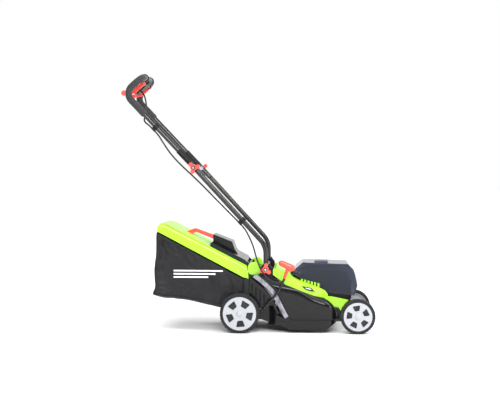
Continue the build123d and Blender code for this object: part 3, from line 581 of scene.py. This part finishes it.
def make_cables():
    """The lead from the switch box to the deck, in three spans held by two clips."""
    spans = (
        ("lead_upper", CABLE_UPPER, "cable_upper", None),
        ("lead_mid", CABLE_MID, "cable_mid", MID_BEND),
        ("lead_lower", CABLE_LOWER, "cable_lower", LOWER_BEND),
    )
    for name, route, node, bend in spans:
        vertices, faces = sweep(smooth_line(route, 10), CABLE_RADIUS, 14)
        lead = piece(name, vertices, faces, None if bend else "upper_handle", "cable_rubber")
        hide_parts(node)
        if bend:
            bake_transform(lead)


def make_strain_relief():
    """The ribbed rubber boot where the lead enters the deck."""
    profile = [(0.0, 0.004), (0.0085, 0.004)]
    for i in range(5):
        low = 0.001 - i * 0.0045
        size = 0.0085 - i * 0.0008
        groove = size - 0.0014
        profile.extend([(size, low), (size, low - 0.0026), (groove, low - 0.0030), (groove, low - 0.0042)])
    profile.append((0.0, -0.022))
    vertices, faces = lathe(profile, (0.136, -0.180, 0.206), (0, 1, 0), 24)
    piece("strain_relief", vertices, faces, "root", "cable_rubber")


BAG_OUTLINE = (
    (0.0075, 0.091), (0.0075, 0.207), (-0.3700, 0.4098), (-0.3800, 0.305), (-0.3870, 0.250), (-0.3825, 0.178),
    (-0.3985, 0.1515), (-0.350, 0.1400), (-0.251, 0.1315), (-0.108, 0.1020),
)
BAG_HALF = 0.1445
BAG_MOUTH_X = 0.004
BAG_THICKNESS = 0.0012
CLOTH_FRAMES = 26
CLOTH_REACH = 0.009


def make_bag():
    """The cloth catcher bag: a shell that hangs slack in its frame, settled by a cloth simulation."""
    vertices, faces = prism(BAG_OUTLINE, -BAG_HALF, BAG_HALF)
    mesh = bpy.data.meshes.new("bag_shell")
    mesh.from_pydata(vertices, [], faces)
    bag = from_mesh("bag_shell", mesh, None, "bag_cloth", 180)
    rounding = bag.modifiers.new("corner", "BEVEL")
    rounding.width = 0.007
    rounding.segments = 2
    remesh = bag.modifiers.new("grid", "REMESH")
    remesh.mode = "VOXEL"
    remesh.voxel_size = 0.0075
    remesh.use_smooth_shade = True
    apply_modifiers(bag)
    start = [v.co.copy() for v in bag.data.vertices]
    settle_cloth(bag, start)
    crumple(bag)
    smooth = bag.modifiers.new("fine", "SUBSURF")
    smooth.levels = 1
    smooth.render_levels = 1
    apply_modifiers(bag)
    open_mouth(bag)
    wall = bag.modifiers.new("wall", "SOLIDIFY")
    wall.thickness = BAG_THICKNESS
    wall.offset = -1
    apply_modifiers(bag)
    bag.data.polygons.foreach_set("use_smooth", [True] * len(bag.data.polygons))
    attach(bag, "grass_bag")
    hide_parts("bag_fabric")
    return bag


def open_mouth(bag):
    """Takes away the cloth inside the mouth's hoop, where the bag meets the deck."""
    cut = bmesh.new()
    cut.from_mesh(bag.data)
    inside = []
    for face in cut.faces:
        centre = face.calc_center_median()
        in_front = centre.x > BAG_MOUTH_X - 0.004
        between_sides = abs(centre.y) < BAG_HALF - 0.016
        if in_front and between_sides and centre.z > BAG_OUTLINE[0][1] + 0.012:
            inside.append(face)
    bmesh.ops.delete(cut, geom=inside, context="FACES")
    cut.to_mesh(bag.data)
    cut.free()


def apply_modifiers(thing):
    """Replaces an object's mesh by the one its modifiers give."""
    bpy.context.view_layer.update()
    seen = thing.evaluated_get(bpy.context.evaluated_depsgraph_get())
    mesh = bpy.data.meshes.new_from_object(seen)
    thing.modifiers.clear()
    old = thing.data
    thing.data = mesh
    bpy.data.meshes.remove(old)


def frame_line(x):
    """The height of the bag's sloping top edge above x."""
    front, rear = BAG_OUTLINE[1], BAG_OUTLINE[2]
    return front[1] + (x - front[0]) * (rear[1] - front[1]) / (rear[0] - front[0])


def settle_cloth(bag, start):
    """Lets the shell sag from its frame, then caps how far each point has moved."""
    group = bag.vertex_groups.new(name="frame")
    for i, place in enumerate(start):
        depth = frame_line(place.x) - place.z
        near_mouth = place.x - (-0.012)
        hold = max(0.0, 1 - depth / 0.020, near_mouth / 0.010)
        group.add([i], min(1.0, hold), "REPLACE")
    cloth = bag.modifiers.new("cloth", "CLOTH")
    settings = cloth.settings
    settings.quality = 6
    settings.mass = 0.25
    settings.tension_stiffness = 14
    settings.compression_stiffness = 6
    settings.bending_stiffness = 0.25
    settings.shrink_min = -0.022
    settings.use_pressure = True
    settings.uniform_pressure_force = 0.6
    settings.vertex_group_mass = "frame"
    settings.effector_weights.gravity = 0.35
    cloth.collision_settings.use_collision = False
    cloth.point_cache.frame_start = 1
    cloth.point_cache.frame_end = CLOTH_FRAMES
    scene = bpy.context.scene
    for step in range(1, CLOTH_FRAMES + 1):
        scene.frame_set(step)
    apply_modifiers(bag)
    scene.frame_set(1)
    for vertex, before in zip(bag.data.vertices, start):
        move = vertex.co - before
        if move.length > CLOTH_REACH:
            vertex.co = before + move * (CLOTH_REACH / move.length)


BAG_FOLDS = (
    # start x, start z, end x, end z, width, height: a crease across both side panels
    (-0.340, 0.362, -0.345, 0.292, 0.010, 0.0095),
    (-0.325, 0.352, -0.272, 0.318, 0.009, 0.0080),
    (-0.372, 0.290, -0.352, 0.235, 0.011, 0.0085),
    (-0.385, 0.166, -0.312, 0.186, 0.007, 0.0090),
    (-0.352, 0.150, -0.290, 0.172, 0.009, 0.0060),
    (-0.380, 0.235, -0.330, 0.210, 0.010, 0.0060),
    (-0.262, 0.146, -0.200, 0.206, 0.012, 0.0056),
    (-0.118, 0.118, -0.078, 0.192, 0.011, 0.0056),
    (-0.020, 0.120, -0.066, 0.186, 0.009, 0.0050),
    (-0.250, 0.310, -0.190, 0.240, 0.014, 0.0060),
    (-0.110, 0.240, -0.072, 0.190, 0.010, 0.0040),
)


FOLD_DEPTH = 1.4
FOLD_FROM_Y = 0.120


def crumple(bag):
    """Adds the creases that run in from the bag's corners."""
    for vertex in bag.data.vertices:
        co = vertex.co
        side = max(0.0, min(1.0, (abs(co.y) - FOLD_FROM_Y) / 0.020))
        lift = 0.0
        for x0, z0, x1, z1, width, height in BAG_FOLDS:
            dx, dz = x1 - x0, z1 - z0
            t = max(0.0, min(1.0, ((co.x - x0) * dx + (co.z - z0) * dz) / (dx * dx + dz * dz)))
            gap = math.hypot(co.x - x0 - t * dx, co.z - z0 - t * dz)
            shape = math.exp(-(gap / width) ** 2) - 0.55 * math.exp(-((gap - 1.9 * width) / width) ** 2)
            lift += height * shape * (1 - 0.7 * t)
        co.y += math.copysign(FOLD_DEPTH * lift * side, co.y)


def on_surface(tree, place, lift):
    """The nearest point of the bag's surface, lifted off it along its normal."""
    spot, normal, _, _ = tree.find_nearest(place)
    return spot + normal * lift


def make_bag_trim(bag):
    """The welted seam round each side panel and the row of stitches below the frame."""
    tree = BVHTree.FromObject(bag, bpy.context.evaluated_depsgraph_get())
    pieces = []
    for hand, sign in (("right", -1), ("left", 1)):
        corners = [*BAG_OUTLINE[2:], BAG_OUTLINE[0]]
        path = []
        for (x0, z0), (x1, z1) in zip(corners, corners[1:]):
            steps = max(2, int(math.hypot(x1 - x0, z1 - z0) / WELT_STEP))
            for i in range(steps):
                spot = Vector((x0 + (x1 - x0) * i / steps, sign * BAG_HALF, z0 + (z1 - z0) * i / steps))
                path.append(on_surface(tree, spot, 0.0004))
        vertices, faces = sweep(path, WELT_RADIUS, 8)
        pieces.append(piece(f"bag_welt_{hand}", vertices, faces, "grass_bag", "hem_tape"))
        pieces.append(make_stitches(tree, hand, sign))
    return pieces


STITCH_PITCH = 0.0065
STITCH_RUN = 0.335
STITCH_DROP = 0.012
WELT_RADIUS = 0.0021
WELT_STEP = 0.006


def make_stitches(tree, hand, sign):
    """Short thread stitches in a row below the frame's edge."""
    vertices = []
    faces = []
    for i in range(int(STITCH_RUN / STITCH_PITCH)):
        x = -0.012 - i * STITCH_PITCH
        ends = []
        for back in (x, x - STITCH_PITCH * 0.62):
            ends.append(Vector((back, sign * BAG_HALF, frame_line(back) - STITCH_DROP)))
        path = [on_surface(tree, p, 0.0003) for p in ends]
        path.insert(1, (path[0] + path[1]) / 2 + Vector((0, sign * 0.0004, 0)))
        more, loops = sweep(path, 0.00055, 6)
        add_to(vertices, faces, more, loops)
    return piece(f"bag_stitches_{hand}", vertices, faces, "grass_bag", "hem_tape")


def make_mouth_hem():
    """The folded hem that wraps the mouth's hoop at each side."""
    foot, front, rear = 0.0905, 0.0098, -0.010
    outline = rounded_outline([(rear, foot), (front, foot), (front, 0.2165), (rear, 0.2235)], 0.003)
    pieces = []
    for hand, sign in (("right", -1), ("left", 1)):
        vertices, faces = side_prism(outline, sign, 0.1425, 0.1512)
        pieces.append(bevel(piece(f"mouth_hem_{hand}", vertices, faces, "grass_bag", "hem_tape"), 0.0015, 3))
    return pieces


WHEELS = (("rear", -0.027, 0.080, 0.080), ("front", 0.448, 0.070, 0.070))
TYRE_DEPTH = 0.013
CAP_PROFILE = (
    (0.0, 0.1985), (0.006, 0.1982), (0.0105, 0.1972), (0.0125, 0.1955), (0.0130, 0.1935), (0.0, 0.1935),
)


def make_wheel_details():
    """Behind each rim's windows a black disc of painted shade, and in its middle a domed cap."""
    for end, x, z, radius in WHEELS:
        rim = radius - TYRE_DEPTH
        for hand, sign in (("right", -1), ("left", 1)):
            body = f"{end}_wheel_{hand}"
            axis = (0, sign, 0)
            edge = rim * 0.93
            # painted shade: a thin black disc just inside the rim, so that its windows read as dark
            window_shade = [(0.0135, 0.1865), (rim * 0.55, 0.1878), (edge, 0.1865), (edge, 0.1850), (0.0135, 0.1850)]
            vertices, faces = lathe(window_shade, (x, 0, z), axis, 60)
            piece(f"{end}_liner_{hand}", vertices, faces, body, "shadow_black")
            vertices, faces = lathe(CAP_PROFILE, (x, 0, z), axis, 40)
            piece(f"{end}_cap_{hand}", vertices, faces, body, "rim_silver")


COWL_EDGE = (
    (0.134, 0.216), (0.157, 0.197), (0.185, 0.186), (0.228, 0.168), (0.270, 0.152), (0.310, 0.142),
    (0.339, 0.133), (0.356, 0.122), (0.367, 0.104), (0.373, 0.082), (0.374, 0.060),
)
TRIM_LINE = (
    (0.031, 0.234), (0.063, 0.210), (0.096, 0.179), (0.117, 0.153), (0.131, 0.125), (0.147, 0.093),
    (0.163, 0.065), (0.171, 0.050),
)
DECK_RADIUS = 0.178
BLADE_X = 0.205
SHELL_Y = 0.1832
NOSE_START = 0.312
NOSE_END = (0.3735, 0.128)
REAR_STEPS = 25
STRAIGHT_STEPS = 34
NOSE_STEPS = 22


def between(table, value, key=0, want=1):
    """Reads one column of a line of points at a value of the other."""
    rows = sorted(table, key=lambda row: row[key])
    if value <= rows[0][key]:
        return rows[0][want]
    for low, high in zip(rows, rows[1:]):
        if value <= high[key]:
            share = (value - low[key]) / max(high[key] - low[key], 1e-9)
            return low[want] + (high[want] - low[want]) * share
    return rows[-1][want]


def shell_stations():
    """The deck side's plan: (x, |y|, inward x, inward |y|), straight and then round the front corner."""
    stations = []
    for i in range(STRAIGHT_STEPS):
        x = BLADE_X + (NOSE_START - BLADE_X) * i / (STRAIGHT_STEPS - 1)
        stations.append((x, SHELL_Y, 0.0, -1.0))
    reach_x = NOSE_END[0] - NOSE_START
    reach_y = SHELL_Y - NOSE_END[1]
    for i in range(1, NOSE_STEPS + 1):
        angle = math.pi / 2 * i / NOSE_STEPS
        x = NOSE_START + reach_x * math.sin(angle)
        y = NOSE_END[1] + reach_y * math.cos(angle)
        normal = Vector((math.sin(angle) / reach_x, math.cos(angle) / reach_y)).normalized()
        stations.append((x, y, -normal.x, -normal.y))
    return stations


def deck_edge(x):
    """|y| of the deck below the shell at x."""
    return math.sqrt(DECK_RADIUS ** 2 - max(0.0, x - BLADE_X) ** 2)


def shell_grid(sign, rows):
    """Vertices and faces of a deck side skin. rows gives (height, inset) pairs for a station's x and share."""
    vertices = []
    width = None
    stations = [(None, k / REAR_STEPS) for k in range(REAR_STEPS)]
    stations += [(place, 1.0) for place in shell_stations()]
    for place, share in stations:
        x, y, in_x, in_y = place or (BLADE_X, SHELL_Y, 0.0, -1.0)
        levels = rows(x, share)
        width = len(levels)
        for height, inset in levels:
            px = x + in_x * inset
            if place is None:
                left = between(TRIM_LINE, height, 1, 0) + 0.0085
                px = left + (BLADE_X - left) * share
            vertices.append((px, sign * (y + in_y * inset), height))
    faces = []
    for i in range(len(stations) - 1):
        for k in range(width - 1):
            faces.append((i * width + k, (i + 1) * width + k, (i + 1) * width + k + 1, i * width + k + 1))
    return vertices, faces


SHELL_FOOT = 0.0545
SKIRT_INSET = 0.0062


def shoulder_rows(x, share):
    """Levels of the bulged side: a rolled foot, an upright wall and a shoulder that rolls in under the cowl."""
    top = between(COWL_EDGE, x) if share == 1.0 else between(COWL_EDGE, BLADE_X) + (1 - share) * 0.022
    if share < 1.0:
        top = min(top, 0.205)
    room = SHELL_Y - deck_edge(x) - 0.0006
    depth = min(0.030, max(0.0046, room))
    tall = min(0.030, (top - SHELL_FOOT) * 0.6)
    edge = 0.0042 * math.exp(-(share / 0.10) ** 2) if share < 1.0 else 0.0
    foot = SHELL_FOOT + 0.004
    levels = [(SHELL_FOOT - 0.001, 0.0058), (SHELL_FOOT, 0.0030), (SHELL_FOOT + 0.0015, 0.0012), (foot, 0.0)]
    for i in range(1, 12):
        levels.append((foot + (top - tall - foot) * i / 11, 0.0))
    for i in range(1, 13):
        angle = math.pi / 2 * i / 12
        levels.append((top - tall + tall * math.sin(angle), depth * (1 - math.cos(angle))))
    levels.append((top, depth + 0.012 if x > 0.300 else depth + 0.0005))
    return [(z, min(inset + edge, 0.045)) for z, inset in levels]


def skirt_rows(x, share):
    """Levels of the upright lip below the bulged side."""
    low = 0.0125 + max(0.0, x - 0.318) * 0.62
    levels = [(low, SKIRT_INSET + 0.003), (low, SKIRT_INSET + 0.0006), (low + 0.001, SKIRT_INSET)]
    for i in range(1, 6):
        levels.append((low + 0.001 + (SHELL_FOOT - 0.001 - low) * i / 5, SKIRT_INSET))
    return levels


def make_deck_shells():
    """The deck's glossy bulged sides, with their upright lips and the ribs behind the trim."""
    for hand, sign in (("right", -1), ("left", 1)):
        vertices, faces = shell_grid(sign, shoulder_rows)
        piece(f"deck_side_{hand}", vertices, faces, "root", "black_shell", 60)
        vertices, faces = shell_grid(sign, skirt_rows)
        piece(f"deck_lip_{hand}", vertices, faces, "root", "black_shell", 60)
        make_recess_ribs(hand, sign)


RIB_COUNT = 6
RIB_START = 0.018
RIB_PITCH = 0.0165
RIB_THICKNESS = 0.004
RIB_FOOT = 0.108


def make_recess_ribs(hand, sign):
    """Upright ribs on the tunnel's wall, between the rear wheel and the toothed rack."""
    vertices = []
    faces = []
    for i in range(RIB_COUNT):
        x = RIB_START + i * RIB_PITCH
        top = between(TRIM_LINE, x + 0.022) - 0.034
        front = x + RIB_THICKNESS
        outline = [(x, RIB_FOOT), (front, RIB_FOOT), (front, top - RIB_THICKNESS), (x, top)]
        more, loops = side_prism(outline, sign, 0.1352, 0.1475)
        add_to(vertices, faces, more, loops)
    bevel(piece(f"recess_ribs_{hand}", vertices, faces, "root", "inner_black"), 0.0008, 2)


def rounded_outline(corners, radius, steps=6):
    """A closed (x, z) outline with every corner rounded by a curve."""
    points = []
    count = len(corners)
    for i in range(count):
        before, corner, after = (Vector(corners[(i + k) % count]) for k in (-1, 0, 1))
        into = (before - corner).normalized()
        out = (after - corner).normalized()
        reach = min(radius, (before - corner).length * 0.45, (after - corner).length * 0.45)
        start = corner + into * reach
        end = corner + out * reach
        for k in range(steps + 1):
            t = k / steps
            points.append(tuple(start.lerp(corner, t).lerp(corner.lerp(end, t), t)))
    return points


def make_cover_ears():
    """Green rounded covers over the rear flap's hinge ends, beside the handle's brackets."""
    corners = [
        (0.0060, 0.238), (0.0020, 0.264), (0.012, 0.281), (0.036, 0.286), (0.052, 0.272), (0.056, 0.238),
        (0.040, 0.226),
    ]
    outline = rounded_outline(corners, 0.012)
    for hand, sign in (("right", -1), ("left", 1)):
        vertices, faces = side_prism(outline, sign, 0.1365, 0.1515)
        bevel(piece(f"hinge_cover_{hand}", vertices, faces, "root", "green_shell"), 0.004, 4)


def make_badge():
    """A plain dark plate on each side of the cowl, with a pale inlaid bar."""
    cowl_wall = 0.170
    plate = rounded_outline([(0.223, 0.1915), (0.262, 0.1835), (0.277, 0.1665), (0.236, 0.1775)], 0.003)
    bar = rounded_outline([(0.236, 0.1855), (0.258, 0.1812), (0.262, 0.1762), (0.241, 0.1808)], 0.0015)
    parts = (("badge", plate, 0.1768, "shadow_black"), ("badge_bar", bar, 0.1774, "lamp_grey"))
    for hand, sign in (("right", -1), ("left", 1)):
        for name, outline, out, slot in parts:
            vertices, faces = side_prism(outline, sign, cowl_wall, out)
            bevel(piece(f"{name}_{hand}", vertices, faces, "root", slot), 0.0006, 2)


PAD_TOP = 0.2835
PAD_FOOT = 0.2822


def make_lid_details():
    """The lid's front catch and the dark ribbed pad on its top grip."""
    corners = [(0.4385, 0.186), (0.4525, 0.188), (0.4545, 0.206), (0.4495, 0.228), (0.4425, 0.228)]
    outline = rounded_outline(corners, 0.003)
    vertices, faces = prism(outline, -0.020, 0.020)
    bevel(piece("lid_catch", vertices, faces, "lid", "lamp_grey"), 0.0012, 3)
    vertices = []
    faces = []
    for i in range(7):
        rear = 0.279 + i * 0.0075
        front = rear + 0.004
        rib = [(rear, PAD_TOP), (front, PAD_TOP), (front, PAD_FOOT), (rear, PAD_FOOT)]
        more, loops = prism(rib, -0.013, 0.013)
        add_to(vertices, faces, more, loops)
    piece("lid_pad", vertices, faces, "lid", "shadow_black")


LEVER_Y = -0.193
GRIP_MIDDLE_Y = -0.1945
GRIP_FLATNESS = 0.75


def make_lever_grip():
    """The height lever's grip: an egg-shaped handle, fuller in front, on a tapered stem, flattened sideways."""
    rear = Vector((0.1306, LEVER_Y, 0.2894))
    front = Vector((0.1952, LEVER_Y, 0.2600))
    steps = 30
    path = [rear.lerp(front, i / steps) for i in range(steps + 1)]

    def size(share):
        body = 0.0118 + 0.0028 * share
        tips = math.sqrt(max(0.0, 1 - max(0.0, (0.19 - share) / 0.19, (share - 0.76) / 0.24) ** 2))
        return max(0.0010, body * tips)

    vertices, faces = sweep(path, size, 28)
    stem = [Vector((0.1530, -0.190, 0.2235)).lerp(Vector((0.170, -0.1925, 0.270)), i / 10) for i in range(11)]
    more, loops = sweep(stem, lambda share: 0.0066 + 0.0030 * share ** 3, 20)
    add_to(vertices, faces, more, loops)
    vertices = [(v.x, GRIP_MIDDLE_Y + (v.y - LEVER_Y) * GRIP_FLATNESS, v.z) for v in vertices]
    grip = piece("lever_handle", vertices, faces, "rear_axle", "red_plastic", 60)
    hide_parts("lever_grip")


# name, x and z of each pair of knobs, and |y| of their outer faces
KNOBS = (("lower", 0.078, 0.259, 0.2034), ("mid", -0.212, 0.667, 0.1946))
NUT_BORE = 0.0044


def make_knob_nuts():
    """The nut and washer in the middle of each red knob, in black as painted shade round the bolt's end."""
    for name, x, z, face in KNOBS:
        seat = face + 0.0010
        for hand, sign in (("right", -1), ("left", 1)):
            washer = [(NUT_BORE, face + 0.0002), (0.0078, face + 0.0002), (0.0078, seat), (NUT_BORE, seat)]
            vertices, faces = lathe(washer, (x, 0, z), (0, sign, 0), 32)
            nut = [(NUT_BORE, seat), (0.0066, seat), (0.0066, face + 0.0040), (NUT_BORE, face + 0.0044)]
            more, loops = lathe(nut, (x, 0, z), (0, sign, 0), 6)
            add_to(vertices, faces, more, loops)
            # painted shade: nut and washer are black so that only the bolt's bare end shows silver
            piece(f"{name}_nut_{hand}", vertices, faces, f"knob_{name}_{hand}", "shadow_black", 30)


def set_stage():
    """A wide sheet of white paper under the mower."""
    floor_size = 30
    vertices = [(x * floor_size, y * floor_size, 0) for x, y in ((-1, -1), (1, -1), (1, 1), (-1, 1))]
    mesh = bpy.data.meshes.new("floor")
    mesh.from_pydata(vertices, [], [(0, 1, 2, 3)])
    floor = bpy.data.objects.new("floor", mesh)
    bpy.context.scene.collection.objects.link(floor)
    paper = Finish("paper", Roughness=0.9)
    paper.colour(paper.mix(paper.noise(3, 2), (0.93, 0.93, 0.93), (0.96, 0.96, 0.96)))
    floor.data.materials.append(paper.material)


set_camera()
set_world(0.16)
ceiling_light(2.3, 70)
softbox("strip", (0.1, -4.4, 2.5), (0.1, 0, 0.2), (3.6, 1.5), 165)
softbox("window", (0.3, -4.2, 2.3), (0.25, 0, 0.1), (1.8, 0.45), 50)
softbox("corner", (2.7, -1.5, 3.0), (-0.2, 0, 0.6), (1.1, 1.6), 60)
softbox("side", (3.4, -2.4, 0.9), (0.2, 0, 0.2), (0.8, 1.6), 50)
MATERIALS = make_materials()
dress_nodes()
make_foam_grip()
make_cables()
make_strain_relief()
catcher = make_bag()
trim = make_bag_trim(catcher) + make_mouth_hem()
make_wheel_details()
make_deck_shells()
make_cover_ears()
make_badge()
make_lid_details()
make_lever_grip()
make_knob_nuts()
set_stage()
